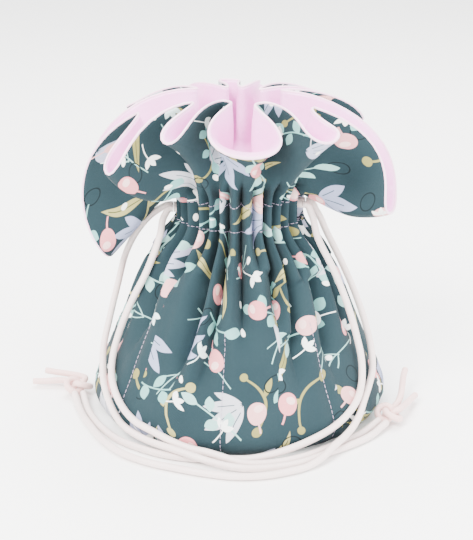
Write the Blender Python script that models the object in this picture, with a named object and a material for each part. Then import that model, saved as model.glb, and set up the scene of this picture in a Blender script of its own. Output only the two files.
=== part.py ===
"""Round-bottomed drawstring pouch with a ruffled collar, standing closed on a table.

A circle of printed cotton and a circle of satin are gathered by two cords. Each cord
runs once round the neck in a sewn channel, comes out at its own side, lies round the
front of the pouch and is knotted on the far side. A smaller satin circle, stitched down
along eight rays, makes the pockets inside.

Metres, +Z up, the front towards -Y, the origin under the middle of the base.
"""
import math

import bmesh
import bpy
import numpy as np
from mathutils import Matrix, Vector

# Body of the pouch, as radius and height of the fold crests
BELLY_RADIUS = 0.0644
BASE_EDGE = 0.0044
BELLY_HEIGHT = 0.006
NECK_RADIUS = 0.0277
EDGE_ROUND = (0.62, 0.40)
CHANNEL_BOTTOM = 0.083
CHANNEL_WIDTH = 0.014
RUFFLE_LENGTH = 0.0405

# Share of the way from belly to neck: height, then radius still left to lose
SIDE_PROFILE = ((0.22, 0.84), (0.46, 0.63), (0.70, 0.43), (0.87, 0.24))
# Fold depth from crest to valley, from the belly up to the channel's bottom
SIDE_FOLDS = (0.0010, 0.0036, 0.0062, 0.0084, 0.0092)
STITCHED_FOLD = 0.0078
CHANNEL_FOLD = 0.0062
LINING_FOLD = 0.0045
CHANNEL_EASE = 0.0010

# Layers
COTTON = 0.0006
SATIN = 0.0005
LAYER_GAP = 0.0004
COLUMNS_PER_GATHER = 4
DEEPEST_SAMPLE = 0.5 * (1 + math.cos(math.pi / COLUMNS_PER_GATHER))

# Ruffle lobes, anticlockwise from the front: gathers taken up, then how steeply the
# crest leaves the neck and how steeply it ends at the rim, in degrees
LOBES = (
    (3, 92, 8), (2, 80, 20), (3, 35, -75), (2, 70, 10), (3, 70, 30),
    (2, 80, 45), (3, 65, 15), (3, 2, -76), (3, 80, 18),
)
FIRST_LOBE_EDGE = 249.5
LEFT_LOBE, RIGHT_LOBE = 7, 2
VALLEY_LIFT = 80
LOBE_BULGE = 0.24
RUFFLE_SHARES = (0.2, 0.43, 0.7, 1.0)
ARC_STEPS = 12
CREST_ROUND = 0.8
VALLEY_PULL = 0.6 * STITCHED_FOLD
# How fast the pull, the bulge and the lobe's own width come in along the ruffle
PULL_RATE, BULGE_RATE, WIDTH_RATE = 2.0, 1.6, 2.2

# Pockets
POCKETS = 8
POCKET_COLUMNS = 32
POCKET_MOUTH_HEIGHT = 0.052
POCKET_FOOT_RADIUS = 0.040
POCKET_SLACK = 0.0012
POCKET_SHARES = (0.12, 0.56, 1.0)

# Cords
CORD = 0.003
CORD_GAP = 0.0004
CORD_STEP = 0.0083
RING_STEP = 0.0060
KNOT_STEP = 0.0023
CORD_LEAD = 0.0012
EXIT_HALF_COLUMNS = 4
EXIT_SPREAD = 6.0
KNOT_RING, KNOT_RISE = 0.0036, 0.0019
KNOT_SQUEEZE = 0.92
KNOT_POINTS = 20
KNOT_MOUTH = 0.34

# Turn of a drawstring out of its channel: degrees from the exit's middle, share of the way out
NECK_TURN = ((EXIT_SPREAD, 1.0), (EXIT_SPREAD, 0.68), (7.4, 0.36), (9.6, 0.12), (13.5, 0.0), (20.0, 0.0))
NECK_ROUND = range(32, 330, 15)

# Heights of a cord's middle: lying on the table, and lying over another cord
FLOOR = 0.0002 + CORD / 2
OVER = FLOOR + CORD + CORD_GAP

BASE_RADIUS = BELLY_RADIUS - BASE_EDGE
GATHERS = sum(lobe[0] for lobe in LOBES)
COLUMNS = GATHERS * COLUMNS_PER_GATHER
STITCH_TOP = CHANNEL_BOTTOM + CHANNEL_WIDTH
CHANNEL_MIDDLE = CHANNEL_BOTTOM + CHANNEL_WIDTH / 2
# The cord rings lie behind the deepest fold of the channel
CORD_RING = NECK_RADIUS - DEEPEST_SAMPLE * CHANNEL_FOLD - COTTON / 2 - CORD_GAP - CORD / 2 - CHANNEL_EASE
CORD_RISE = (CORD + CORD_GAP) / 2
EXIT_RADIUS = NECK_RADIUS + COTTON


def material(name, colour, roughness, sheen=0.0):
    mat = bpy.data.materials.new(name)
    mat.use_nodes = True
    shader = mat.node_tree.nodes["Principled BSDF"]
    shader.inputs["Base Color"].default_value = (*colour, 1)
    shader.inputs["Roughness"].default_value = roughness
    shader.inputs["Metallic"].default_value = 0.0
    shader.inputs["Sheen Weight"].default_value = sheen
    return mat


def add_mesh(name, vertices, faces, mat):
    mesh = bpy.data.meshes.new(name)
    mesh.from_pydata(vertices, [], faces)
    mesh.validate()
    mesh.materials.append(mat)
    form = bmesh.new()
    form.from_mesh(mesh)
    bmesh.ops.recalc_face_normals(form, faces=form.faces)
    form.to_mesh(mesh)
    form.free()
    mesh.shade_smooth()
    mesh.set_sharp_from_angle(angle=math.radians(50))
    obj = bpy.data.objects.new(name, mesh)
    bpy.context.scene.collection.objects.link(obj)
    return obj


def side_rows():
    """Radius, height and fold depth of each row from the flat base to the ruffle's foot."""
    rows = [(BASE_RADIUS, COTTON / 2, 0.0)]
    out, up = EDGE_ROUND
    rows.append((
        BASE_RADIUS + out * (BELLY_RADIUS - BASE_RADIUS),
        COTTON / 2 + up * (BELLY_HEIGHT - COTTON / 2), 0.0))
    rows.append((BELLY_RADIUS, BELLY_HEIGHT, SIDE_FOLDS[0]))
    for (up, left), fold in zip(SIDE_PROFILE, SIDE_FOLDS[1:]):
        rows.append((
            NECK_RADIUS + left * (BELLY_RADIUS - NECK_RADIUS),
            BELLY_HEIGHT + up * (CHANNEL_BOTTOM - BELLY_HEIGHT), fold))
    rows.append((NECK_RADIUS, CHANNEL_BOTTOM, STITCHED_FOLD))
    rows.append((NECK_RADIUS, CHANNEL_MIDDLE, CHANNEL_FOLD))
    rows.append((NECK_RADIUS, STITCH_TOP, STITCHED_FOLD))
    return rows


def smooth_step(x):
    x = min(max(x, 0.0), 1.0)
    return x * x * (3 - 2 * x)


def columns():
    """For each column: its direction, its gather's fold weight, its lobe and place in it."""
    out = []
    start = FIRST_LOBE_EDGE
    for gathers, lift, droop in LOBES:
        count = gathers * COLUMNS_PER_GATHER
        width = 360.0 * gathers / GATHERS
        for i in range(count):
            share = (i + 0.5) / count
            wave = 0.5 * (1 + math.cos(2 * math.pi * (i + 0.5) / COLUMNS_PER_GATHER))
            out.append({
                "angle": math.radians(start + share * width), "wave": wave,
                "middle": math.radians(start + width / 2), "half": math.radians(width / 2),
                "place": 2 * share - 1, "lift": lift, "droop": droop})
        start += width
    return out


def ruffle_point(column, share):
    """A point of the ruffle: each column is an arc that starts at the neck and bends out.

    Crests lean outwards and droop by their lobe's own angles, valleys stand almost
    upright, and the lobe swells sideways past its own foot.
    """
    crest = 0.5 * (1 + math.cos(math.pi * column["place"]))
    radius, height, length = NECK_RADIUS, STITCH_TOP, RUFFLE_LENGTH * share / ARC_STEPS
    for i in range(ARC_STEPS):
        along = share * (i + 0.5) / ARC_STEPS
        bend = column["lift"] + (column["droop"] - column["lift"]) * along
        lift = math.radians(VALLEY_LIFT + (bend - VALLEY_LIFT) * crest ** CREST_ROUND)
        radius += length * math.cos(lift)
        height += length * math.sin(lift)
    radius -= VALLEY_PULL * (1 - crest) * smooth_step(share * PULL_RATE)
    bulge = LOBE_BULGE * smooth_step(share * BULGE_RATE) * math.sin(2 * math.pi * column["place"])
    angle = column["middle"] + column["half"] * (column["place"] + bulge)
    angle = column["angle"] + (angle - column["angle"]) * smooth_step(share * WIDTH_RATE)
    return Vector((radius * math.cos(angle), radius * math.sin(angle), height))


def crest_grid():
    """Rows of points through the fold crests, with the gathers' depth at each point."""
    grid, depth = [], []
    cols = columns()
    for radius, height, fold in side_rows():
        grid.append([Vector((radius * math.cos(c["angle"]), radius * math.sin(c["angle"]), height))
                     for c in cols])
        depth.append([fold * c["wave"] for c in cols])
    for share in RUFFLE_SHARES:
        fade = 1 - smooth_step(share / RUFFLE_SHARES[1])
        grid.append([ruffle_point(c, share) for c in cols])
        depth.append([STITCHED_FOLD * fade * c["wave"] for c in cols])
    return grid, depth


def grid_normals(grid):
    """Outward unit normal at every point of a grid that closes round its rows."""
    rows, count = len(grid), len(grid[0])
    normals = []
    for r in range(rows):
        line = []
        for c in range(count):
            up = grid[min(r + 1, rows - 1)][c] - grid[max(r - 1, 0)][c]
            along = grid[r][(c + 1) % count] - grid[r][c - 1]
            line.append(along.cross(up).normalized())
        normals.append(line)
    return normals


def moved(grid, normals, depth):
    """The grid pushed inwards along its normals by a depth per point."""
    return [[p - n * d for p, n, d in zip(*rows)] for rows in zip(grid, normals, depth)]


def base_lies_flat(normals, rows):
    """Points of the base, whose sheet faces straight down."""
    for r in range(rows):
        normals[r] = [Vector((0, 0, -1))] * len(normals[r])
    return normals


def sheet_solid(name, middle, thickness, mat, closed_foot=True, left_out=()):
    """A closed sheet of cloth about a grid of points; left_out quads stay open holes."""
    normals = grid_normals(middle)
    if closed_foot:
        normals = base_lies_flat(normals, 1)
    rows, count = len(middle), len(middle[0])
    vertices, faces = [], []
    for side in (0.5, -0.5):
        for r in range(rows):
            vertices += [p + n * thickness * side for p, n in zip(middle[r], normals[r])]
    layer = rows * count
    kept = {(r, c) for r in range(rows - 1) for c in range(count)} - set(left_out)

    def corner(r, c, inner):
        return r * count + c % count + inner * layer

    for r, c in sorted(kept):
        a, b = middle[r][c], middle[r + 1][(c + 1) % count]
        e, f = middle[r][(c + 1) % count], middle[r + 1][c]
        split_ab = (a - b).length <= (e - f).length
        for inner in (0, 1):
            q = [corner(r, c, inner), corner(r, c + 1, inner),
                 corner(r + 1, c + 1, inner), corner(r + 1, c, inner)]
            halves = [(q[0], q[1], q[2]), (q[0], q[2], q[3])] if split_ab else \
                     [(q[1], q[2], q[3]), (q[1], q[3], q[0])]
            faces += [h[::-1] for h in halves] if inner else halves
        for step, ends in {(-1, 0): ((r, c), (r, c + 1)), (1, 0): ((r + 1, c + 1), (r + 1, c)),
                           (0, 1): ((r, c + 1), (r + 1, c + 1)), (0, -1): ((r + 1, c), (r, c))}.items():
            neighbour = (r + step[0], (c + step[1]) % count)
            foot = r == 0 and step == (-1, 0) and closed_foot
            if neighbour not in kept and not foot:
                (r0, c0), (r1, c1) = ends
                faces.append((corner(r1, c1, 0), corner(r0, c0, 0), corner(r0, c0, 1)))
                faces.append((corner(r1, c1, 0), corner(r0, c0, 1), corner(r1, c1, 1)))
    if closed_foot:
        for inner, side in ((0, 0.5), (1, -0.5)):
            centre = len(vertices)
            vertices.append(Vector((0, 0, middle[0][0].z - thickness * side)))
            for c in range(count):
                tri = (centre, corner(0, c + 1, inner), corner(0, c, inner))
                faces.append(tri[::-1] if inner else tri)
    return add_mesh(name, vertices, faces, mat)


def exit_quads(lobe):
    """Quads of the channel left out where a cord comes out, under the middle of a lobe."""
    first = sum(entry[0] for entry in LOBES[:lobe]) * COLUMNS_PER_GATHER
    middle = first + LOBES[lobe][0] * COLUMNS_PER_GATHER // 2
    bottom = len(side_rows()) - 3
    return [(bottom + r, (middle + c) % COLUMNS)
            for r in (0, 1) for c in range(-EXIT_HALF_COLUMNS, EXIT_HALF_COLUMNS)]


def lobe_direction(lobe):
    before = sum(entry[0] for entry in LOBES[:lobe])
    return FIRST_LOBE_EDGE + 360.0 * (before + LOBES[lobe][0] / 2) / GATHERS


def make_outer_shell():
    """The printed cotton circle: flat base, gathered side, channel and ruffle."""
    grid, depth = crest_grid()
    middle = moved(grid, grid_normals(grid), depth)
    holes = exit_quads(LEFT_LOBE) + exit_quads(RIGHT_LOBE)
    cotton = material("printed_cotton", (0.075, 0.135, 0.150), 0.85, sheen=0.2)
    return sheet_solid("outer_shell", middle, COTTON, cotton, left_out=holes)


def lining_depth(row_count):
    """How far the lining lies inside the crests: behind the valleys, and behind the cords."""
    folds = [row[2] for row in side_rows()]
    channel = len(folds) - 3
    behind_cords = NECK_RADIUS - (CORD_RING - CORD / 2 - CORD_GAP - SATIN / 2)
    nest = COTTON / 2 + LAYER_GAP + SATIN / 2
    depths = []
    for r in range(row_count):
        if channel <= r < len(folds):
            depths.append(behind_cords)
        elif r < channel:
            depths.append(DEEPEST_SAMPLE * folds[r] + nest)
        else:
            fade = 1 - smooth_step(RUFFLE_SHARES[r - len(folds)] / RUFFLE_SHARES[1])
            depths.append(DEEPEST_SAMPLE * STITCHED_FOLD * fade + nest)
    return depths


def lining_grid():
    """The lining's middle, in rows from the base's edge to the rim."""
    grid, depth = crest_grid()
    cols = columns()
    channel = len(side_rows()) - 3
    inset = lining_depth(len(grid))
    for r in range(len(grid)):
        own = LINING_FOLD if channel - 1 <= r <= channel + 2 else 0.0
        depth[r] = [inset[r] + own * c["wave"] for c in cols]
    normals = base_lies_flat(grid_normals(grid), 1)
    middle = moved(grid, normals, depth)
    rise = COTTON / 2 + LAYER_GAP + SATIN / 2
    for c, p in enumerate(middle[0]):
        middle[0][c] = Vector((p.x, p.y, COTTON / 2 + rise))
    del middle[1]
    return middle


def make_lining():
    """The satin circle inside the shell, up to the rim."""
    satin = material("pink_satin", (0.86, 0.42, 0.60), 0.32, sheen=0.3)
    return sheet_solid("satin_lining", lining_grid(), SATIN, satin)


def make_pockets():
    """The ring of pockets: a satin band held to the lining along eight rays."""
    lining = lining_grid()[:len(side_rows()) - 3]
    heights = [row[0].z for row in lining]
    radii = [row[0].to_2d().length for row in lining]
    nest = SATIN + LAYER_GAP
    inner = nest + POCKET_SLACK / 2
    lift = heights[0] + nest
    path = [(POCKET_FOOT_RADIUS, lift, 0.0),
            (BASE_RADIUS - POCKET_SLACK * 2 - inner, lift, 0.0)]
    for share in POCKET_SHARES:
        height = lift + share * (POCKET_MOUTH_HEIGHT - lift)
        path.append((float(np.interp(height, heights, radii)) - inner, height,
                     POCKET_SLACK * smooth_step(share * 2)))
    middle = []
    for radius, height, slack in path:
        line = []
        for i in range(POCKET_COLUMNS):
            angle = 2 * math.pi * i / POCKET_COLUMNS
            wave = 0.5 * (1 - math.cos(POCKETS * angle))
            reach = radius - slack * wave
            line.append(Vector((reach * math.cos(angle), reach * math.sin(angle), height)))
        middle.append(line)
    satin = material("pocket_satin", (0.84, 0.44, 0.60), 0.34, sheen=0.3)
    return sheet_solid("inner_pockets", middle, SATIN, satin, closed_foot=False)


def smooth_route(points, step, leads):
    """Points every step along a smooth curve through the route's own points.

    A lead puts one more point close to an end, so that the end's face stands square.
    """
    pts = np.array(points, float)
    leg = np.diff(pts, axis=0)
    span = np.linalg.norm(leg, axis=1)[:, None]
    slope = leg / span
    tangent = np.empty_like(pts)
    tangent[0], tangent[-1] = slope[0], slope[-1]
    tangent[1:-1] = (slope[:-1] * span[1:] + slope[1:] * span[:-1]) / (span[:-1] + span[1:])
    fine = []
    for i in range(len(leg)):
        for t in np.linspace(0, 1, 24, endpoint=False):
            fine.append(pts[i] + leg[i] * t * t * (3 - 2 * t)
                        + tangent[i] * span[i] * t * (1 - t) ** 2
                        - tangent[i + 1] * span[i] * t * t * (1 - t))
    fine = np.array(fine + [pts[-1]])
    run = np.concatenate([[0], np.cumsum(np.linalg.norm(np.diff(fine, axis=0), axis=1))])
    count = max(2, round(run[-1] / step) + 1)
    first, last = leads
    at = np.linspace(first, run[-1] - last, count)
    at = np.unique(np.concatenate([[0], at, [run[-1]]]))
    return np.stack([np.interp(at, run, fine[:, i]) for i in range(3)], axis=1)


def cord_tube(name, points, mat, radius=CORD / 2, step=CORD_STEP, leads=(0, 0)):
    """A cord as a curve with a bevel and filled caps."""
    curve = bpy.data.curves.new(name, "CURVE")
    curve.dimensions = "3D"
    curve.bevel_depth = radius
    curve.bevel_resolution = 2
    curve.render_resolution_u = 0
    curve.use_fill_caps = True
    route = smooth_route(points, step, leads)
    spline = curve.splines.new("POLY")
    spline.points.add(len(route) - 1)
    for point, place in zip(spline.points, route):
        point.co = (*place, 1)
    curve.materials.append(mat)
    obj = bpy.data.objects.new(name, curve)
    bpy.context.scene.collection.objects.link(obj)
    return obj


def polar(angle, radius, height):
    return (radius * math.cos(math.radians(angle)), radius * math.sin(math.radians(angle)), height)


def exit_point(lobe, side, height, beyond=0.0):
    """Where a cord leaves the channel: side is +1 anticlockwise of the lobe's middle."""
    return polar(lobe_direction(lobe) + side * EXIT_SPREAD, EXIT_RADIUS + beyond, height)


def make_neck_cord(name, lobe, height, mat):
    """The stretch of a drawstring inside the channel, its two ends turned out at one side."""
    middle = lobe_direction(lobe)
    out = EXIT_RADIUS - CORD_RING
    points = [polar(middle + away, CORD_RING + out * share, height) for away, share in NECK_TURN]
    points += [polar(middle + away, CORD_RING, height) for away in NECK_ROUND]
    points += [polar(middle - away, CORD_RING + out * share, height) for away, share in NECK_TURN[::-1]]
    return cord_tube(name, points, mat, step=RING_STEP, leads=(CORD_LEAD, CORD_LEAD))


LEFT_HEIGHT = CHANNEL_MIDDLE - CORD_RISE
RIGHT_HEIGHT = CHANNEL_MIDDLE + CORD_RISE

# Free strands, from just outside the channel to the knot on the far side. The two of
# the left pair lie over the right pair at the left front and under it at the right.
LEFT_FRONT = (
    exit_point(LEFT_LOBE, 1, LEFT_HEIGHT, CORD_GAP),
    exit_point(LEFT_LOBE, 1, LEFT_HEIGHT, CORD_LEAD + CORD_GAP),
    (-0.0318, -0.0056, 0.0858), (-0.0336, -0.0116, 0.0790), (-0.0389, -0.0182, 0.0654),
    (-0.0461, -0.0182, 0.0509), (-0.0515, -0.0187, 0.0374), (-0.0540, -0.0228, 0.0291),
    (-0.0543, -0.0295, 0.0221), (-0.0511, -0.0387, 0.0155), (-0.0442, -0.0487, 0.0107),
    (-0.0348, -0.0566, 0.0087), (-0.0268, -0.0612, 0.0066), (-0.0200, -0.0644, 0.0054),
    (-0.0130, -0.0672, OVER), (-0.0050, -0.0695, 0.0036), (0.0020, -0.0703, 0.0019),
    (0.0120, -0.0698, FLOOR), (0.0245, -0.0652, FLOOR), (0.0365, -0.0564, FLOOR),
    (0.0455, -0.0492, FLOOR), (0.0522, -0.0425, FLOOR), (0.0596, -0.0339, 0.0030),
)
LEFT_BACK = (
    exit_point(LEFT_LOBE, -1, LEFT_HEIGHT, CORD_GAP),
    exit_point(LEFT_LOBE, -1, LEFT_HEIGHT, CORD_LEAD + CORD_GAP),
    (-0.0362, 0.0038, 0.0848), (-0.0440, 0.0058, 0.0762), (-0.0495, 0.0066, 0.0660),
    (-0.0537, 0.0025, 0.0512), (-0.0572, -0.0040, 0.0374), (-0.0592, -0.0115, 0.0285),
    (-0.0591, -0.0190, 0.0240), (-0.0584, -0.0246, 0.0175), (-0.0549, -0.0347, 0.0113),
    (-0.0492, -0.0455, 0.0070), (-0.0424, -0.0530, 0.0056), (-0.0350, -0.0590, OVER),
    (-0.0260, -0.0650, OVER), (-0.0150, -0.0712, 0.0042), (-0.0060, -0.0734, 0.0025),
    (0.0020, -0.0742, FLOOR), (0.0125, -0.0735, FLOOR), (0.0244, -0.0696, FLOOR),
    (0.0305, -0.0656, FLOOR), (0.0366, -0.0610, FLOOR), (0.0456, -0.0545, FLOOR),
    (0.0545, -0.0465, FLOOR), (0.0626, -0.0362, 0.0030),
)
RIGHT_INNER = (
    exit_point(RIGHT_LOBE, -1, RIGHT_HEIGHT, CORD_GAP),
    exit_point(RIGHT_LOBE, -1, RIGHT_HEIGHT, CORD_LEAD + CORD_GAP),
    (0.0304, -0.0108, 0.0880), (0.0330, -0.0130, 0.0787), (0.0394, -0.0164, 0.0661),
    (0.0455, -0.0188, 0.0517), (0.0499, -0.0234, 0.0378), (0.0519, -0.0288, 0.0283),
    (0.0515, -0.0351, 0.0204), (0.0496, -0.0402, 0.0161), (0.0451, -0.0468, 0.0123),
    (0.0382, -0.0540, 0.0094), (0.0285, -0.0607, 0.0070), (0.0200, -0.0642, 0.0050),
    (0.0120, -0.0658, 0.0031), (0.0040, -0.0664, 0.0018), (-0.0050, -0.0664, FLOOR),
    (-0.0120, -0.0664, FLOOR), (-0.0200, -0.0658, FLOOR), (-0.0300, -0.0630, FLOOR),
    (-0.0400, -0.0575, FLOOR), (-0.0500, -0.0498, FLOOR), (-0.0585, -0.0380, FLOOR),
    (-0.0650, -0.0240, 0.0018), (-0.0698, -0.0067, 0.0030),
)
RIGHT_OUTER = (
    exit_point(RIGHT_LOBE, 1, RIGHT_HEIGHT, CORD_GAP),
    exit_point(RIGHT_LOBE, 1, RIGHT_HEIGHT, CORD_LEAD + CORD_GAP),
    (0.0332, -0.0030, 0.0868), (0.0379, 0.0002, 0.0765), (0.0451, -0.0004, 0.0620),
    (0.0505, -0.0040, 0.0502), (0.0551, -0.0100, 0.0375), (0.0570, -0.0158, 0.0300),
    (0.0574, -0.0225, 0.0220), (0.0551, -0.0308, 0.0178), (0.0524, -0.0382, 0.0140),
    (0.0505, -0.0431, 0.0107), (0.0474, -0.0487, 0.0076), (0.0432, -0.0548, 0.0058),
    (0.0384, -0.0616, OVER), (0.0333, -0.0678, 0.0031), (0.0275, -0.0724, FLOOR),
    (0.0200, -0.0766, FLOOR), (0.0100, -0.0801, FLOOR), (0.0000, -0.0810, FLOOR),
    (-0.0150, -0.0778, FLOOR), (-0.0260, -0.0738, FLOOR), (-0.0360, -0.0695, FLOOR),
    (-0.0465, -0.0625, FLOOR), (-0.0555, -0.0520, FLOOR), (-0.0625, -0.0385, FLOOR),
    (-0.0688, -0.0235, 0.0018), (-0.07355, -0.0072, 0.0030),
)
# Knots: centre, direction of the arriving strands, and the ends of the two tails
RIGHT_KNOT = ((0.0648, -0.0303, 0.0046), 52.0, ((0.0755, 0.0050, 0.0092), (0.0785, -0.0090, 0.0030)))
LEFT_KNOT = ((-0.0725, -0.0010, 0.0046), 98.0, ((-0.0940, 0.0065, 0.0028), (-0.0890, 0.0135, 0.0050)))


def make_knot(name, spec, mat):
    """An overhand knot: one tight three-lobed loop of cord that ends in the two tails."""
    centre, heading, tails = spec
    turn = Matrix.Rotation(math.radians(heading), 4, "Z")
    loop = []
    for i in range(KNOT_POINTS + 1):
        t = KNOT_MOUTH + (2 * math.pi - 2 * KNOT_MOUTH) * i / KNOT_POINTS
        reach = KNOT_RING + KNOT_RISE * math.cos(3 * t)
        place = Vector((reach * math.cos(2 * t), reach * math.sin(2 * t), -KNOT_RISE * math.sin(3 * t)))
        loop.append(turn @ place + Vector(centre))
    route = [tails[0]] + [tuple(p) for p in loop] + [tails[1]]
    return cord_tube(name, route, mat, radius=CORD / 2 * KNOT_SQUEEZE, step=KNOT_STEP)


def make_cords():
    satin_cord = material("blush_cord", (0.90, 0.80, 0.78), 0.4, sheen=0.2)
    make_neck_cord("neck_cord_left", LEFT_LOBE, LEFT_HEIGHT, satin_cord)
    make_neck_cord("neck_cord_right", RIGHT_LOBE, RIGHT_HEIGHT, satin_cord)
    strands = {
        "strand_left_front": LEFT_FRONT, "strand_left_back": LEFT_BACK,
        "strand_right_inner": RIGHT_INNER, "strand_right_outer": RIGHT_OUTER}
    for name, route in strands.items():
        cord_tube(name, route, satin_cord, leads=(CORD_LEAD, 0))
    knot_cord = material("blush_knot", (0.90, 0.72, 0.70), 0.4, sheen=0.2)
    make_knot("knot_right", RIGHT_KNOT, knot_cord)
    make_knot("knot_left", LEFT_KNOT, knot_cord)


for old in list(bpy.data.objects):
    bpy.data.objects.remove(old, do_unlink=True)
make_outer_shell()
make_lining()
make_pockets()
make_cords()
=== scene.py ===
"""Looks of the drawstring pouch: printed cotton, satin lining, ribbed cords and stitching.

The body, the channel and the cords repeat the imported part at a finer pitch, in the same
frame: metres, +Z up, the front towards -Y. The ruffle above the channel is shaped here.
"""
import math

import bpy
import numpy as np
from mathutils import Matrix, Vector


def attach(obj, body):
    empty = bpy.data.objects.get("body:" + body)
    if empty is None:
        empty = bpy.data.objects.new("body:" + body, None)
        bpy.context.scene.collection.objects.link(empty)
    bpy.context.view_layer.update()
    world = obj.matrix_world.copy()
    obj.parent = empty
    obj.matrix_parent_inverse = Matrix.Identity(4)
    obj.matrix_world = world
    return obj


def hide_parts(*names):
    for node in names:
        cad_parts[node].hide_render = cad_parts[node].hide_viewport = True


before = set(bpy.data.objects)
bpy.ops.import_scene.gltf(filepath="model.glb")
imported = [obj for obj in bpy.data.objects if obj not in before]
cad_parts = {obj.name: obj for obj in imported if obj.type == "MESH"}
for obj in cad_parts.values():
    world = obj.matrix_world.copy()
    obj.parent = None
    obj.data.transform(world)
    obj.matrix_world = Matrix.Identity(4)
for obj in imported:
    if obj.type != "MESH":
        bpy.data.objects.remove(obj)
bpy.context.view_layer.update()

# Body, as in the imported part
BASE_RADIUS = 0.0600
NECK_RADIUS = 0.0277
CHANNEL_BOTTOM = 0.083
CHANNEL_TOP = 0.097
RUFFLE_LENGTH = 0.0405
# Radius and height up the side, from the base to the top of the channel
SIDE_PROFILE = (
    (BASE_RADIUS, 0.0003), (0.0627, 0.0026), (0.0644, 0.0060), (0.0627, 0.0140), (0.0585, 0.0229),
    (0.0508, 0.0414), (0.0435, 0.0599), (0.0365, 0.0730), (0.0292, 0.0812), (0.0277, 0.0840),
    (0.0274, 0.0900), (0.0277, 0.0970),
)
# Height, and how deep the folds are there
FOLD_PROFILE = (
    (0.0, 0.0), (0.006, 0.0008), (0.023, 0.0040), (0.041, 0.0068), (0.060, 0.0090),
    (0.073, 0.0098), (0.083, 0.0080), (0.090, 0.0064), (0.097, 0.0080),
)

# Cloth: thicknesses, how far inside the cotton the lining lies, and the band below the rim
# over which it closes up
COTTON = 0.0005
SATIN = 0.0004
NEST = 0.0010
RIM_NEST = 0.0006
RIM_BAND = 0.008
RIM_RADIUS, RIM_LIFT = 0.00056, 0.0002
COLUMNS_PER_PLEAT = 12
SIDE_ROWS, RUFFLE_ROWS = 62, 38
# Rows set close together at the foot of the side, and the share of its length they take
BASE_ROWS, BASE_SHARE = 9, 0.16
# Behind the cords the lining stands this far in, with pleats of its own, from this height on
CHANNEL_INSET = 0.0110
LINING_PLEAT = 0.0045
INSET_FROM, INSET_OVER = 0.076, 0.007
# Length of ruffle over which the lining comes back to the cotton above the channel
LINING_SETTLE = 0.016

# Ruffle lobes, anticlockwise from the front: width as a share of their sum, pleats, how
# steeply the crest leaves the neck and how steeply it ends at the rim, how far its walls swell
# sideways, and how broad the crest is on either side, where a smaller number is broader
LOBES = (
    (3.0, 4, 100, -6, 0.20, 1.6, 1.2), (2.0, 3, 60, 34, 0.05, 0.8, 0.8),
    (3.0, 4, -38, 20, 0.0, 0.50, 0.8), (2.0, 3, 70, 10, 0.15, 0.8, 0.8),
    (3.0, 4, 70, 30, 0.2, 0.8, 0.8), (2.0, 3, 96, 84, 0.15, 0.6, 0.6),
    (3.0, 4, 65, 15, 0.2, 0.8, 0.7), (2.8, 4, -48, -47, 0.0, 0.7, 0.45),
    (1.7, 2, -10, 56, -0.1, 0.8, 0.8), (1.5, 2, 72, 26, 0.0, 1.0, 1.0),
)
# Waves along each lobe's rim: how many, where they start, how high in metres
FLUTES = (
    (2.0, 0.4, 0.0011), (3.0, 1.7, 0.0006), (2.0, 0.6, 0.0005), (3.0, 2.4, 0.0012), (4.0, 0.9, 0.0013),
    (3.0, 0.2, 0.0011), (4.0, 2.0, 0.0013), (2.0, 2.7, 0.0006), (2.0, 1.2, 0.0005), (2.0, 0.3, 0.0005),
)
# The valley before each lobe: how steeply it leaves the neck and ends at the rim, and how far
# it draws in there
VALLEYS = (
    (94, 94, 0.0060), (88, 88, 0.0050), (66, 78, 0.0035), (92, 92, 0.0080), (98, 98, 0.0100),
    (98, 98, 0.0090), (98, 98, 0.0090), (92, 92, 0.0070), (50, 72, 0.0030), (84, 84, 0.0040),
)
FIRST_LOBE_EDGE = 249.5
LEFT_EXIT, RIGHT_EXIT = 182.0, 347.0
PLEAT_JITTER = 0.24
LOBE_BULGE = 0.36
# Width at which a lobe bulges in full, and how fast bulges and flutes grow from the neck
FULL_LOBE, BULGE_GROWTH, FLUTE_GROWTH = 3.0, 1.6, 1.3
VALLEY_SHARPNESS = 1.5
# Share of the ruffle over which the pleats run out, and how fast the lobes take their shape
PLEAT_FADE, LOBE_FORMING = 0.30, 1.4
# Depth of the pleats where the ruffle starts, the share of it that is there, how quickly it
# falls off, and the share that stays on a lobe's crest
PLEAT_DEPTH = FOLD_PROFILE[-1][1]
PLEAT_START, PLEAT_FALL, PLEAT_LEFT = 0.96, 1.4, 0.12
# The two side flaps, and how much of the pleats' depth they lose as they fold down, and where
FLAPS, FLAP_FLATTENED, FLAP_START = (2, 7), 0.75, 0.10
# Columns either side over which the lining bridges the pleats, and over which it is evened
BRIDGE, EVEN = 6, 4
ARC_STEPS = 24

# Long folds seen from the front: direction at the neck, direction low down, where they end
FRONT_FOLDS = (
    (-113.0, -122.0, 0.020), (-98.0, -111.0, 0.016), (-88.0, -90.0, 0.038), (-70.0, -77.0, 0.040),
    (-56.0, -66.0, 0.018), (-40.6, -49.0, 0.020),
)

# The other folds: depth, lowest height of the long ones and of the short ones, sideways drift
FOLD_DEPTHS = (0.82, 1.12)
LONG_ENDS, SHORT_ENDS, FRONT_ENDS = (0.008, 0.034), (0.056, 0.071), (0.056, 0.070)
FOLD_SWAY = 4.0
FRONT, FRONT_HALF = -78.0, 46
# Height over which a fold deepens, its widest half in degrees, its sharpness, and the height
# at which the drift is gone
FOLD_ONSET, FOLD_HALF, FOLD_SHARPNESS, DRIFT_TOP = 0.022, 11.0, 1.55, 0.080

# Pocket seams, seen outside as rays of stitches
POCKETS = 8
FIRST_RAY = -97.0
POCKET_TOP = 0.052
POCKET_COLUMNS = 240
# The pockets' floor, as radius and height, and the height at which their wall starts
POCKET_FLOOR = ((0.040, 0.0022), (0.049, 0.0022), (0.0565, 0.0024))
POCKET_FOOT = 0.0024
POCKET_NEST, POCKET_SLACK, POCKET_RIPPLE = 0.0011, 0.0016, 0.0002
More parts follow.
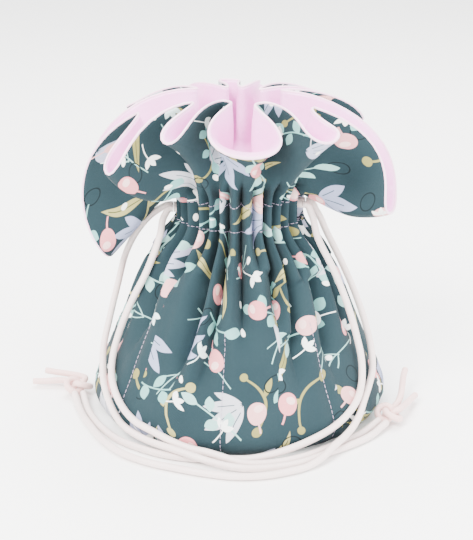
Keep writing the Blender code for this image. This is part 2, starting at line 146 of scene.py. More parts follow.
# Along a seam: depth and width of the groove, height, distance and width of the puckers
SEAM_DEPTH, SEAM_WIDTH = 0.0007, 0.0016
PUCKER, PUCKER_AWAY, PUCKER_WIDTH = 0.0004, 0.0045, 0.0026

# Stitches, their thread and how far it stands off the cloth
STITCH, STITCH_GAP, THREAD = 0.0016, 0.0006, 0.00014
STITCH_TAPER = (0.55, 0.95, 1.0, 0.95, 0.55)
CHANNEL_LIFT, SEAM_LIFT = 0.00012, 0.00010

# Cords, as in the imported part
CORD = 0.003
CORD_GAP = 0.0004
CORD_LEAD = 0.0012
EXIT_SPREAD = 6.0
EXIT_HALF, EXIT_HEIGHTS = 10.5, (0.0857, 0.0945)
EXIT_RADIUS = 0.0283
CORD_RING = 0.01887
CHANNEL_MIDDLE = 0.090
CORD_RISE = (CORD + CORD_GAP) / 2
FLOOR = 0.0002 + CORD / 2
OVER = FLOOR + CORD + CORD_GAP

MOTIF_SCALE = 1.3

rng = np.random.default_rng(11)


# Curves

def hermite(points, per_leg=24):
    """A smooth curve through points, spaced by chord length, as many fine points."""
    pts = np.array(points, float)
    leg = np.diff(pts, axis=0)
    span = np.linalg.norm(leg, axis=1)[:, None]
    slope = leg / span
    tangent = np.empty_like(pts)
    tangent[0], tangent[-1] = slope[0], slope[-1]
    tangent[1:-1] = (slope[:-1] * span[1:] + slope[1:] * span[:-1]) / (span[:-1] + span[1:])
    fine = []
    for i in range(len(leg)):
        for t in np.linspace(0, 1, per_leg, endpoint=False):
            fine.append(pts[i] + leg[i] * t * t * (3 - 2 * t)
                        + tangent[i] * span[i] * t * (1 - t) ** 2
                        - tangent[i + 1] * span[i] * t * t * (1 - t))
    return np.array(fine + [pts[-1]])


def run_length(points):
    return np.concatenate([[0], np.cumsum(np.linalg.norm(np.diff(points, axis=0), axis=1))])


def resampled(points, step):
    """The same line with a point every step."""
    run = run_length(points)
    at = np.linspace(0, run[-1], max(2, int(round(run[-1] / step)) + 1))
    return np.stack([np.interp(at, run, points[:, i]) for i in range(points.shape[1])], axis=1)


def round_points(radius, theta, height):
    """Points at a radius and height, in the directions theta."""
    return np.stack([radius * np.cos(theta), radius * np.sin(theta), np.full_like(theta, height)], axis=1)


def smooth_step(x):
    x = np.clip(x, 0.0, 1.0)
    return x * x * (3 - 2 * x)


# Columns of the cloth

ALL_GATHERS = sum(lobe[0] for lobe in LOBES)


def make_columns():
    """Arrays with one entry per column: direction, lobe, place in the lobe, pleats and folds."""
    angle, lobe_of, place, edges = [], [], [], []
    start = FIRST_LOBE_EDGE
    for number, (gathers, pleats, *_) in enumerate(LOBES):
        width = 360.0 * gathers / ALL_GATHERS
        inner = np.arange(1, pleats) + rng.uniform(-PLEAT_JITTER, PLEAT_JITTER, pleats - 1)
        marks = np.concatenate([[0], inner, [pleats]]) / pleats
        for left, right in zip(marks[:-1], marks[1:]):
            edges.append(start + width * left)
            share = left + (right - left) * np.arange(COLUMNS_PER_PLEAT) / COLUMNS_PER_PLEAT
            angle.append(start + width * share)
            place.append(2 * share - 1)
            lobe_of.append(np.full(COLUMNS_PER_PLEAT, number))
        start += width
    return np.concatenate(angle), np.concatenate(lobe_of), np.concatenate(place), np.array(edges)


ANGLE, LOBE_OF, PLACE, EDGES = make_columns()
COLUMNS = len(ANGLE)
PLEATS = len(EDGES)
# From 1 on a lobe's crest to 0 in the valleys beside it
ON_CREST = 0.5 * (1 + np.cos(math.pi * PLACE))


def lobe_direction(lobe):
    before = sum(entry[0] for entry in LOBES[:lobe])
    return FIRST_LOBE_EDGE + 360.0 * (before + LOBES[lobe][0] / 2) / ALL_GATHERS


def turn_between(a, b):
    """Signed angle from b to a, within half a turn."""
    return (np.asarray(a) - b + 180.0) % 360.0 - 180.0


def make_folds():
    """One fold per pleat edge: depth factor, the height at which it ends, and its sideways drift."""
    depth = rng.uniform(*FOLD_DEPTHS, PLEATS)
    end = np.where(np.arange(PLEATS) % 2 == 0, rng.uniform(*LONG_ENDS, PLEATS),
                   rng.uniform(*SHORT_ENDS, PLEATS))
    drift = rng.uniform(-FOLD_SWAY, FOLD_SWAY, PLEATS)
    named = []
    for neck, low, stop in FRONT_FOLDS:
        k = int(np.argmin(np.abs(turn_between(EDGES, neck))))
        named.append(k)
        depth[k], end[k] = FOLD_DEPTHS[1], stop
        drift[k] = turn_between(low, EDGES[k])
    for k in range(PLEATS):
        if k in named or abs(turn_between(EDGES[k], FRONT)) >= FRONT_HALF:
            continue
        end[k] = rng.uniform(*FRONT_ENDS)
        gap = np.abs(turn_between(EDGES[named], EDGES[k]))
        two = np.argsort(gap)[:2]
        weight = 1 / (gap[two] + 1e-6)
        drift[k] = float((drift[np.array(named)[two]] * weight).sum() / weight.sum())
    return depth, end, drift


FOLD_DEPTH, FOLD_END, FOLD_DRIFT = make_folds()


def around(values, at):
    """Values given at the pleat edges, read at any column direction round the pouch."""
    order = np.argsort(EDGES)
    x = np.concatenate([EDGES[order] - 360, EDGES[order], EDGES[order] + 360])
    y = np.tile(values[order], 3)
    return np.interp((at - EDGES.min()) % 360 + EDGES.min(), x, y)


def fold_share(height):
    """How deep the cloth is folded at each column of a row, from 0 on crests to 1 in valleys."""
    total = np.zeros(COLUMNS)
    alive = smooth_step((height - FOLD_END) / FOLD_ONSET)
    for k in range(PLEATS):
        if alive[k] <= 0:
            continue
        gap = turn_between(ANGLE, EDGES[k])
        near = []
        for side in (1, -1):
            reach = 0.0
            for step in range(1, PLEATS):
                n = (k + side * step) % PLEATS
                if alive[n] > 0.25 or step > 3:
                    reach = abs(turn_between(EDGES[n], EDGES[k]))
                    break
            near.append(min(reach * 0.5, FOLD_HALF))
        width = np.where(gap >= 0, near[0], near[1])
        form = np.clip(1 - np.abs(gap) / width, 0, 1) ** FOLD_SHARPNESS
        total += (alive[k] * FOLD_DEPTH[k] * form) ** 4
    return total ** 0.25


# Cloth surfaces, as rows of points

def wobble(rows_s, scale, seed, size):
    """A soft field over rows and columns, from a few waves of different pitch."""
    local = np.random.default_rng(seed)
    theta = np.radians(ANGLE)[None, :]
    s = np.asarray(rows_s)[:, None]
    field = np.zeros((len(rows_s), COLUMNS))
    for n in scale:
        phase, tilt = local.uniform(0, 2 * math.pi, 2), local.uniform(-60, 60)
        field += np.sin(n * theta + tilt * s + phase[0]) * np.cos(s * 35 + phase[1])
    return size * field / len(scale)


def ruffle_crest(share):
    """The ruffle's smooth form at one share of its length: each column bends out as an arc."""
    lift, droop, swell, before, after = (
        np.array([lobe[n] for lobe in LOBES])[LOBE_OF] for n in range(2, 7))
    form = ON_CREST ** np.where(PLACE < 0, before, after)
    root, tip, pull = (np.where(PLACE < 0, own[LOBE_OF], np.roll(own, -1)[LOBE_OF])
                   for own in np.array(VALLEYS).T)
    waves, phase, high = (np.array([flute[n] for flute in FLUTES])[LOBE_OF] for n in range(3))
    radius = np.full(COLUMNS, NECK_RADIUS)
    height = np.full(COLUMNS, CHANNEL_TOP)
    for i in range(ARC_STEPS):
        along = share * (i + 0.5) / ARC_STEPS
        bend = lift + (droop - lift) * along
        stand = root + (tip - root) * along
        slope = np.radians(stand + (bend - stand) * form)
        radius += RUFFLE_LENGTH * share / ARC_STEPS * np.cos(slope)
        height += RUFFLE_LENGTH * share / ARC_STEPS * np.sin(slope)
    grown = smooth_step(share * BULGE_GROWTH)
    radius -= pull * (1 - ON_CREST) ** VALLEY_SHARPNESS * grown
    flute = high * smooth_step(share * FLUTE_GROWTH) * (1 - PLACE ** 2) \
        * np.sin(math.pi * waves * PLACE + phase)
    radius += flute * np.sin(slope)
    height -= flute * np.cos(slope)
    gathers = np.array([lobe[0] for lobe in LOBES])
    half = 180.0 * gathers[LOBE_OF] / gathers.sum()
    middle = np.array([lobe_direction(n) for n in range(len(LOBES))])[LOBE_OF]
    bulge = LOBE_BULGE * np.clip(gathers[LOBE_OF] / FULL_LOBE, 0, 1) * np.sin(2 * math.pi * PLACE) \
        + swell * np.sin(math.pi * PLACE)
    wide = middle + half * (PLACE + bulge * grown)
    angle = np.radians(ANGLE + turn_between(wide, ANGLE) * smooth_step(share * LOBE_FORMING))
    return round_points(radius, angle, height)


def make_grid():
    """Crest points, fold depths and distance from the centre for each row, base to rim."""
    profile = resampled(hermite(SIDE_PROFILE), 0.00025)
    run = run_length(profile)
    dense = np.concatenate([
        np.linspace(0, run[-1] * BASE_SHARE, BASE_ROWS, endpoint=False),
        np.linspace(run[-1] * BASE_SHARE, run[-1], SIDE_ROWS - BASE_ROWS)])
    grid, depth, along = [], [], []
    fold_z, fold_d = zip(*FOLD_PROFILE)
    for s in dense:
        radius, height = np.interp(s, run, profile[:, 0]), np.interp(s, run, profile[:, 1])
        drift = around(FOLD_DRIFT, ANGLE) * (1 - smooth_step(height / DRIFT_TOP))
        grid.append(round_points(radius, np.radians(ANGLE + drift), height))
        depth.append(np.interp(height, fold_z, fold_d) * fold_share(height))
        along.append(BASE_RADIUS + s)
    foot = fold_share(CHANNEL_TOP)
    for row in range(1, RUFFLE_ROWS + 1):
        share = row / RUFFLE_ROWS
        grid.append(ruffle_crest(share))
        fade = 1 - smooth_step(share / PLEAT_FADE)
        left = PLEAT_LEFT * (1 - share) * ON_CREST
        flat = FLAP_FLATTENED * ON_CREST ** 0.5 * smooth_step(share / FLAP_START) \
            * np.isin(LOBE_OF, FLAPS)
        depth.append(PLEAT_DEPTH * foot * (PLEAT_START * fade ** PLEAT_FALL + left) * (1 - flat))
        along.append(BASE_RADIUS + run[-1] + RUFFLE_LENGTH * share)
    return np.array(grid), np.array(depth), np.array(along)


def normals_of(grid):
    """Outward unit normal at each point of rows that close round."""
    up = np.empty_like(grid)
    up[1:-1] = grid[2:] - grid[:-2]
    up[0], up[-1] = grid[1] - grid[0], grid[-1] - grid[-2]
    along = np.roll(grid, -1, axis=1) - np.roll(grid, 1, axis=1)
    normal = np.cross(along, up)
    return normal / np.maximum(np.linalg.norm(normal, axis=2, keepdims=True), 1e-12)


CREST, DEPTH, ALONG = make_grid()
CREST_NORMAL = normals_of(CREST)
RAYS = FIRST_RAY + np.arange(POCKETS) * 360.0 / POCKETS


def puckers(grid):
    """Shallow grooves along the pocket seams, with small puckers between the stitches."""
    theta = np.degrees(np.arctan2(grid[..., 1], grid[..., 0]))
    radius = np.hypot(grid[..., 0], grid[..., 1])
    dent = np.zeros(radius.shape)
    fade = smooth_step((POCKET_TOP + 0.004 - grid[..., 2]) / 0.008)
    for ray in RAYS:
        gap = np.radians(turn_between(theta, ray)) * radius
        dent += SEAM_DEPTH * np.exp(-(gap / SEAM_WIDTH) ** 2)
        dent -= PUCKER * np.exp(-((np.abs(gap) - PUCKER_AWAY) / PUCKER_WIDTH) ** 2) \
            * (0.6 + 0.4 * np.sin(grid[..., 2] * 1300 + ray))
    return dent * fade


def shell_depth():
    """How far the cotton lies behind the crest: folds, soft waves, fine creases and seams."""
    soft = wobble(ALONG, (3, 5, 8, 13), 5, 0.0007) * smooth_step((CREST[..., 2] - 0.004) / 0.02)
    fine = wobble(ALONG * 3.1, (21, 34, 47, 55), 6, 0.00022)
    moved = DEPTH + soft + fine * smooth_step((CREST[..., 2] - 0.002) / 0.02) + puckers(CREST)
    moved[0] = 0
    return moved


SHELL_DEPTH = shell_depth()
SHELL = CREST - CREST_NORMAL * SHELL_DEPTH[..., None]
# How far inside the cotton the lining lies at each row
NEST_AT = NEST + (RIM_NEST - NEST) * smooth_step((ALONG - ALONG[-1] + RIM_BAND) / RIM_BAND)


def lining_middle():
    """The satin inside the cotton: behind its folds, and behind the cords in the channel.

    In the ruffle it bridges the small pleats at the height of the deepest one near by.
    """
    height = CREST[..., 2]
    in_body = ALONG[:, None] <= ALONG[SIDE_ROWS - 1] + 1e-9
    channel = smooth_step((height - INSET_FROM) / INSET_OVER) * in_body
    ruffle = ~in_body * (1 - smooth_step((ALONG - ALONG[SIDE_ROWS - 1])[:, None] / LINING_SETTLE))
    mix = np.maximum(channel, ruffle)
    deep = np.max([np.roll(SHELL_DEPTH, k, axis=1) for k in range(-BRIDGE, BRIDGE + 1)], axis=0)
    deep = np.mean([np.roll(deep, k, axis=1) for k in range(-EVEN, EVEN + 1)], axis=0)
    behind = np.maximum(deep, SHELL_DEPTH)
    inside = SHELL_DEPTH + (behind - SHELL_DEPTH) * ~in_body + NEST_AT[:, None]
    inner = np.maximum(CHANNEL_INSET + LINING_PLEAT * fold_share(CHANNEL_TOP)[None, :], inside)
    moved = inside + (inner - inside) * mix
    grid = CREST - CREST_NORMAL * moved[..., None]
    body = grid[in_body[:, 0]]
    body[..., 2] = np.maximum(body[..., 2], NEST + 0.0003)
    grid[in_body[:, 0]] = body
    return grid


# Meshes

def mesh_object(name, vertices, faces, material, coords=None):
    mesh = bpy.data.meshes.new(name)
    mesh.from_pydata([tuple(v) for v in vertices], [], faces)
    mesh.update()
    if coords is not None:
        layer = mesh.attributes.new("cloth", "FLOAT_VECTOR", "CORNER")
        layer.data.foreach_set("vector", np.asarray(coords, np.float32).ravel())
    mesh.shade_smooth()
    mesh.materials.append(material)
    obj = bpy.data.objects.new(name, mesh)
    bpy.context.scene.collection.objects.link(obj)
    return obj


def flat_coords(grid):
    """Where each column of each row lies on the flat circle of cloth, a lobe at a time.

    The distance from the centre and the lengths along the rows are kept, so the print
    isn't stretched. What doesn't fit is hidden in the deep folds between the lobes.
    """
    ahead = np.linalg.norm(np.roll(grid, -1, axis=1) - grid, axis=2)
    coords = np.zeros((len(grid), COLUMNS, 2, 2))
    for lobe in range(len(LOBES)):
        cols = np.flatnonzero(LOBE_OF == lobe)
        middle = math.radians(lobe_direction(lobe))
        run = np.concatenate([np.zeros((len(grid), 1)), np.cumsum(ahead[:, cols], axis=1)], axis=1)
        run = run - run[:, [len(cols) // 2]]
        phi = middle + run / ALONG[:, None]
        for side, part in ((0, phi[:, :-1]), (1, phi[:, 1:])):
            coords[:, cols, side, 0] = ALONG[:, None] * np.cos(part)
            coords[:, cols, side, 1] = ALONG[:, None] * np.sin(part)
    return coords


def cloth_solid(name, middle, thickness, material, holes=None, foot=True):
    """A closed sheet about rows of points, with a flat middle at its foot and open holes."""
    rows, count = middle.shape[:2]
    normal = normals_of(middle)
    if foot:
        normal[0] = (0, 0, -1)
    sides = [middle + normal * thickness / 2, middle - normal * thickness / 2]
    vertices = [p for side in sides for p in side.reshape(-1, 3)]
    layer = rows * count
    coords = flat_coords(middle) if count == COLUMNS and rows == len(ALONG) else None
    faces, corners = [], []
    kept = np.ones((rows - 1, count), bool)
    if holes is not None:
        kept &= ~holes

    def at(r, c, inner):
        return inner * layer + r * count + c % count

    def place(r, c, side):
        return (*coords[r, c, side], 0.0) if coords is not None else (0.0, 0.0, 0.0)

    for r in range(rows - 1):
        for c in range(count):
            if not kept[r, c]:
                continue
            spots = [place(r, c, 0), place(r, c, 1), place(r + 1, c, 1), place(r + 1, c, 0)]
            quad = [(r, c), (r, c + 1), (r + 1, c + 1), (r + 1, c)]
            faces.append(tuple(at(a, b, 0) for a, b in quad))
            corners += spots
            faces.append(tuple(at(a, b, 1) for a, b in quad[::-1]))
            corners += spots[::-1]
            around_it = (((r - 1, c), 0, 1), ((r, (c + 1) % count), 1, 2), ((r + 1, c), 2, 3),
                         ((r, (c - 1) % count), 3, 0))
            for (nr, nc), i, j in around_it:
                if nr < 0 and foot:
                    continue
                if nr < 0 or nr >= rows - 1 or not kept[nr, nc]:
                    (ra, ca), (rb, cb) = quad[i], quad[j]
                    faces.append((at(rb, cb, 0), at(ra, ca, 0), at(ra, ca, 1), at(rb, cb, 1)))
                    corners += [spots[j], spots[i], spots[i], spots[j]]
    if foot:
        for inner, side in ((0, 0.5), (1, -0.5)):
            centre = len(vertices)
            vertices.append((0, 0, middle[0][0][2] - thickness * side))
            for c in range(count):
                a, b = place(0, c, 0), place(0, c, 1)
                tri = (centre, at(0, c + 1, inner), at(0, c, inner))
                spots = [(0.0, 0.0, 0.0), b, a]
                faces.append(tri[::-1] if inner else tri)
                corners += spots[::-1] if inner else spots
    return mesh_object(name, vertices, faces, material, corners if coords is not None else None)


def frames(path, closed):
    """Unit tangent and two unit crosswise directions at each point, turned as little as possible."""
    if closed:
        tangent = np.roll(path, -1, axis=0) - np.roll(path, 1, axis=0)
    else:
        tangent = np.gradient(path, axis=0)
    tangent /= np.linalg.norm(tangent, axis=1, keepdims=True)
    side = np.empty_like(path)
    start = np.cross(tangent[0], (0, 0, 1.0))
    if np.linalg.norm(start) < 0.1:
        start = np.cross(tangent[0], (0, 1.0, 0))
    side[0] = start / np.linalg.norm(start)
    for i in range(1, len(path)):
        s = side[i - 1] - tangent[i] * np.dot(side[i - 1], tangent[i])
        side[i] = s / np.linalg.norm(s)
    if closed:
        s = side[-1] - tangent[0] * np.dot(side[-1], tangent[0])
        s /= np.linalg.norm(s)
        twist = math.atan2(np.dot(np.cross(s, side[0]), tangent[0]), np.dot(s, side[0]))
        for i in range(len(path)):
            a = twist * i / len(path)
            side[i] = side[i] * math.cos(a) + np.cross(tangent[i], side[i]) * math.sin(a)
    return tangent, side, np.cross(tangent, side)


def tube(path, radius, sides, closed=False):
    """Vertices and faces of a round tube; radius is one number or one per point."""
    _, side, up = frames(path, closed)
    radius = np.broadcast_to(radius, len(path))
    turn = 2 * math.pi * np.arange(sides) / sides
    ring = side[:, None, :] * np.cos(turn)[None, :, None] \
        + up[:, None, :] * np.sin(turn)[None, :, None]
    vertices = (path[:, None, :] + ring * radius[:, None, None]).reshape(-1, 3)
    faces = []
    last = len(path) if closed else len(path) - 1
    for i in range(last):
        j = (i + 1) % len(path)
        for k in range(sides):
            n = (k + 1) % sides
            faces.append((i * sides + k, i * sides + n, j * sides + n, j * sides + k))
    if not closed:
        faces.append(tuple(range(sides))[::-1])
        faces.append(tuple((len(path) - 1) * sides + k for k in range(sides)))
    return vertices, faces


def joined(parts):
    """One vertex list and one face list out of several."""
    vertices, faces = [], []
    for v, f in parts:
        shift = len(vertices)
        vertices += [tuple(p) for p in v]
        faces += [tuple(i + shift for i in face) for face in f]
    return vertices, faces


# Shader building

SOFT_EDGE = 0.00012


def maths(operation):
    """A method that makes one node out of a field and what it is given."""
    def method(self, *others):
        return self.node(operation, *others)
    return method


class Field:
    """A number in a node tree, so that formulas can be written as formulas."""

    def __init__(self, tree, value):
        self.tree = tree
        self.value = value

    def node(self, operation, *others):
        made = self.tree.nodes.new("ShaderNodeMath")
        made.operation = operation
        for slot, other in zip(made.inputs, (self, *others)):
            item = other.value if isinstance(other, Field) else other
            if isinstance(item, (int, float)):
                slot.default_value = item
            else:
                self.tree.links.new(item, slot)
        return Field(self.tree, made.outputs[0])

    __add__ = maths("ADD")
    __sub__ = maths("SUBTRACT")
    __mul__ = maths("MULTIPLY")
    size = maths("ABSOLUTE")
    low = maths("MINIMUM")
    high = maths("MAXIMUM")
    root = maths("SQRT")
    sine = maths("SINE")
    cosine = maths("COSINE")
    above = maths("GREATER_THAN")

    def mask(self):
        """1 where the number is above zero, with a soft edge."""
        made = self.node("MULTIPLY_ADD", 1.0 / SOFT_EDGE, 0.5)
        made.value.node.use_clamp = True
        return made


def link(tree, source, target):
    item = source.value if isinstance(source, Field) else source
    if isinstance(item, (int, float, tuple)):
        target.default_value = item
    else:
        tree.links.new(item, target)


def new_material(name):
    material = bpy.data.materials.new(name)
    material.use_nodes = True
    tree = material.node_tree
    shader = tree.nodes["Principled BSDF"]
    return material, tree, shader


def set_sockets(shader, values):
    for name, value in values.items():
        shader.inputs[name].default_value = value


def noise(tree, vector, scale, detail, roughness=0.5):
    made = tree.nodes.new("ShaderNodeTexNoise")
    set_sockets(made, {"Scale": scale, "Detail": detail, "Roughness": roughness})
    tree.links.new(vector, made.inputs["Vector"])
    return made


def grain(tree, *what):
    """A noise as one number."""
    return Field(tree, noise(tree, *what).outputs["Fac"])


def vector_maths(tree, operation, *items):
    made = tree.nodes.new("ShaderNodeVectorMath")
    made.operation = operation
    for slot, item in zip(made.inputs, items):
        link(tree, item, slot)
    return made.outputs[0]


def flat_parts(tree, vector):
    """The x and y of a vector."""
    split = tree.nodes.new("ShaderNodeSeparateXYZ")
    tree.links.new(vector, split.inputs[0])
    return Field(tree, split.outputs["X"]), Field(tree, split.outputs["Y"])


def blend_colours(tree, factor, first, second, how="MIX"):
    made = tree.nodes.new("ShaderNodeMix")
    made.data_type = "RGBA"
    made.blend_type = how
    link(tree, factor, made.inputs["Factor"])
    link(tree, first, made.inputs["A"])
    link(tree, second, made.inputs["B"])
    return made.outputs["Result"]


def palette(tree, factor, colours):
    """One of the colours, picked by a number from 0 to 1."""
    ramp = tree.nodes.new("ShaderNodeValToRGB")
    ramp.color_ramp.interpolation = "CONSTANT"
    stops = ramp.color_ramp.elements
    while len(stops) < len(colours):
        stops.new(0.5)
    for i, colour in enumerate(colours):
        stops[i].position = i / len(colours)
        stops[i].color = (*colour, 1)
    link(tree, factor, ramp.inputs["Fac"])
    return ramp.outputs["Color"]


def bump(tree, shader, height, distance, strength, before=None):
    made = tree.nodes.new("ShaderNodeBump")
    set_sockets(made, {"Strength": strength, "Distance": distance})
    link(tree, height, made.inputs["Height"])
    if before is not None:
        tree.links.new(before, made.inputs["Normal"])
    tree.links.new(made.outputs["Normal"], shader.inputs["Normal"])
    return made.outputs["Normal"]


class Cell:
    """One motif's own place in a scatter of square cells: local x and y in metres.

    Keep is the share of the cells in which the motif is drawn, and jitter how far it strays.
    """

    def __init__(self, tree, vector, size, turn, seed, keep, jitter=0.24):
        mapping = tree.nodes.new("ShaderNodeMapping")
        set_sockets(mapping, {"Rotation": (0, 0, turn), "Location": (0.37 * seed, 0.71 * seed, 0),
                              "Scale": (1 / size, 1 / size, 1)})
        tree.links.new(vector, mapping.inputs["Vector"])
        x, y = flat_parts(tree, mapping.outputs["Vector"])
        cell_x, cell_y = x.node("FLOOR"), y.node("FLOOR")
        pair = tree.nodes.new("ShaderNodeCombineXYZ")
        link(tree, cell_x, pair.inputs["X"])
        link(tree, cell_y, pair.inputs["Y"])
        pair.inputs["Z"].default_value = seed
        chance = tree.nodes.new("ShaderNodeTexWhiteNoise")
        chance.noise_dimensions = "3D"
        tree.links.new(pair.outputs[0], chance.inputs["Vector"])
        parts = tree.nodes.new("ShaderNodeSeparateColor")
        tree.links.new(chance.outputs["Color"], parts.inputs[0])
        red, green, blue = (Field(tree, parts.outputs[i]) for i in range(3))
        along = (x - cell_x - 0.5 - (red - 0.5) * jitter) * size
        across = (y - cell_y - 0.5 - (green - 0.5) * jitter) * size
        angle = blue * (2 * math.pi)
        c, s = angle.cosine(), angle.sine()
        self.x = along * c + across * s
        self.y = across * c - along * s
        self.shown = (Field(tree, chance.outputs["Value"]) * -1.0 + keep).above(0.0)
        self.variety = red

    def turned(self, degrees, away, up=0.0):
        """Local coordinates about another point and direction."""
        c, s = math.cos(math.radians(degrees)), math.sin(math.radians(degrees))
        x, y = self.x - away, self.y - up
        return x * c + y * s, y * c - x * s


def leaf(x, y, length, width):
    """Above zero inside a pointed leaf that starts at the origin and runs along x."""
    u = (x - length / 2) * (2 / length)
    return (u * u * -1.0 + 1.0) * (width / 2) - y.size()


def disc(x, y, radius, stretch=1.0):
    """Above zero inside a circle, or an oval that stretch makes narrower across."""
    return (x * x + y * y * stretch ** 2).root() * -1.0 + radius


def stroke(x, y, start, end, bend, width):
    """Above zero on a thin line along x, bent like a bow."""
    middle = (start + end) / 2
    u = x - middle
    line = (y - (u * u * -bend) - bend * ((end - start) / 2) ** 2).size() * -1.0 + width / 2
    return line.low(u.size() * -1.0 + (end - start) / 2)


def either(fields):
    """Above zero where any of the fields is."""
    out = fields[0]
    for other in fields[1:]:
        out = out.high(other)
    return out


def print_material():
    """Slate-teal cotton twill with a scatter of leaves, sprigs, berries and rings."""
    material, tree, shader = new_material("printed_cotton_twill")
    source = tree.nodes.new("ShaderNodeAttribute")
    source.attribute_name = "cloth"
    vector = source.outputs["Vector"]
    warp = noise(tree, vector, 60.0, 1.0).outputs["Color"]
    drawn = vector_maths(tree, "MULTIPLY_ADD", warp, (0.0022, 0.0022, 0), vector)
    drawn = vector_maths(tree, "MULTIPLY", drawn, (1 / MOTIF_SCALE,) * 3)

    colour = blend_colours(tree, grain(tree, vector, 28.0, 3.0), (0.0075, 0.0195, 0.0255, 1),
                           (0.0175, 0.0375, 0.0450, 1))
    mint = ((0.18, 0.40, 0.38), (0.26, 0.48, 0.45), (0.13, 0.31, 0.30))
    lilac = ((0.28, 0.31, 0.45), (0.36, 0.38, 0.50), (0.46, 0.47, 0.52), (0.22, 0.27, 0.38))
    coral = ((0.68, 0.24, 0.26), (0.70, 0.36, 0.36), (0.64, 0.28, 0.30))
    olive = ((0.24, 0.22, 0.075), (0.33, 0.30, 0.12))

    def paint(cell, fields, colours):
        nonlocal colour
        mask = either(fields).mask() * cell.shown
        ink = palette(tree, cell.variety, colours) if len(colours) > 1 else (*colours[0], 1)
        colour = blend_colours(tree, mask, colour, ink)

    # Bowed stems, each with two round buds and a leaf
    cell = Cell(tree, drawn, 0.027, 0.35, 1, 0.72)
    paint(cell, [stroke(cell.x, cell.y, -0.009, 0.009, 55.0, 0.0009),
                 disc(cell.x + 0.0090, cell.y, 0.0017),
                 disc(cell.x - 0.0092, cell.y, 0.0013),
                 leaf(*cell.turned(38, 0.0010, 0.0044), 0.0062, 0.0022)], olive)

    # Long bowed blades with a dark midrib, and thin pale stems beside them
    cell = Cell(tree, drawn, 0.030, 0.95, 8, 0.62, 0.2)
    bowed = cell.y - cell.x * cell.x * 14.0
    paint(cell, [leaf(cell.x + 0.0100, bowed, 0.0200, 0.0030)], (*olive, mint[2]))
    paint(cell, [stroke(cell.x, bowed, -0.0070, 0.0070, 0.0, 0.00030)], ((0.07, 0.075, 0.03),))
    cell = Cell(tree, drawn, 0.024, 0.45, 9, 0.6, 0.3)
    paint(cell, [stroke(cell.x, cell.y, -0.0085, 0.0085, 24.0, 0.00038),
                 stroke(*cell.turned(34, 0.0, 0.0010), 0.0, 0.0060, 30.0, 0.00034),
                 stroke(*cell.turned(-30, 0.0, 0.0014), 0.0, 0.0055, -30.0, 0.00034)],
          (mint[1], lilac[2]))

    # Thin dark rings
    cell = Cell(tree, drawn, 0.019, 1.1, 2, 0.4, 0.4)
    paint(cell, [disc(cell.x, cell.y, 0.0030, 1.25).size() * -1.0 + 0.00022], ((0.004, 0.009, 0.011),))

    # Fans of long leaves, and the veins of the three longest
    cell = Cell(tree, drawn, 0.029, 0.75, 3, 0.76, 0.16)
    blades, veins = [], []
    for degrees, length, width, vein in ((0, 0.0150, 0.0042, 0.0105), (27, 0.0125, 0.0036, 0.0085),
                                         (-28, 0.0128, 0.0036, 0.0085), (54, 0.0090, 0.0028, 0)):
        x, y = cell.turned(degrees, -0.0065)
        blades.append(leaf(x - 0.0008, y, length, width))
        if vein:
            veins.append(stroke(x, y, 0.0030, vein, 2.0, 0.00028))
    paint(cell, blades, lilac)
    paint(cell, veins, ((0.03, 0.06, 0.075),))

    # Branches with round leaves
    cell = Cell(tree, drawn, 0.026, 0.1, 4, 0.80, 0.18)
    parts = [stroke(cell.x, cell.y, -0.0095, 0.0075, 14.0, 0.0005)]
    for away, up, degrees, length, width in (
            (-0.0045, 0.0004, 62, 0.0052, 0.0034), (-0.0010, 0.0009, -58, 0.0052, 0.0034),
            (0.0028, 0.0009, 55, 0.0050, 0.0032), (0.0068, 0.0002, -12, 0.0056, 0.0036)):
        x, y = cell.turned(degrees, away, up)
        parts.append(leaf(x - 0.0004, y, length, width))
    paint(cell, parts, mint)

    # Berries with a short stalk and a pale cap
    cell = Cell(tree, drawn, 0.023, 0.55, 5, 0.72, 0.3)
    paint(cell, [disc(cell.x, cell.y, 0.0036, 1.18),
                 stroke(cell.x, cell.y, -0.0068, -0.0030, 30.0, 0.0006)], coral)
    paint(cell, [disc(cell.x - 0.0013, cell.y - 0.0007, 0.0012, 0.8)], ((0.78, 0.52, 0.50),))

    # Small sprigs of three off-white leaves, and pale seeds
    cell = Cell(tree, drawn, 0.017, 1.35, 6, 0.42, 0.3)
    parts = [stroke(cell.x, cell.y, -0.0048, 0.0020, 35.0, 0.00040)]
    parts += [leaf(*cell.turned(degrees, 0.0005), 0.0040, 0.0018) for degrees in (0, 48, -48)]
    paint(cell, parts, ((0.80, 0.82, 0.80), (0.62, 0.78, 0.76), (0.74, 0.72, 0.82)))
    cell = Cell(tree, drawn, 0.0125, 0.2, 7, 0.32, 0.5)
    paint(cell, [disc(cell.x, cell.y, 0.0009, 0.7)], ((0.80, 0.80, 0.76), (0.60, 0.56, 0.30)))

    # The twill's diagonal ribs, darkened in the colour as painted shade in their grooves, and a little
    # lint as random tone
    x, y = flat_parts(tree, vector)
    rib = ((x + y * 0.9) * (2 * math.pi / 0.00062)).sine()
    yarn = ((x - y * 0.35) * (2 * math.pi / 0.00045)).sine()
    weave = rib * 0.65 + yarn * 0.35
    shade = weave * 0.11 + grain(tree, vector, 1400.0, 2.0) * 0.16 + 0.92
    grey = tree.nodes.new("ShaderNodeCombineColor")
    for i in range(3):
        link(tree, shade, grey.inputs[i])
    # Painted shade: the ribs' grooves darken the print here, multiplied with the lint's random tone
    rib_shade_and_lint = blend_colours(tree, 1.0, colour, grey.outputs[0], "MULTIPLY")
    tree.links.new(rib_shade_and_lint, shader.inputs["Base Color"])
    set_sockets(shader, {"Roughness": 0.82, "Specular IOR Level": 0.14, "Sheen Weight": 0.03,
                         "Sheen Roughness": 0.5})
    first = bump(tree, shader, weave, 0.00006, 0.8)
    bump(tree, shader, grain(tree, vector, 110.0, 3.0), 0.0009, 0.5, first)
    return material


def object_place(tree):
    return tree.nodes.new("ShaderNodeTexCoord").outputs["Object"]


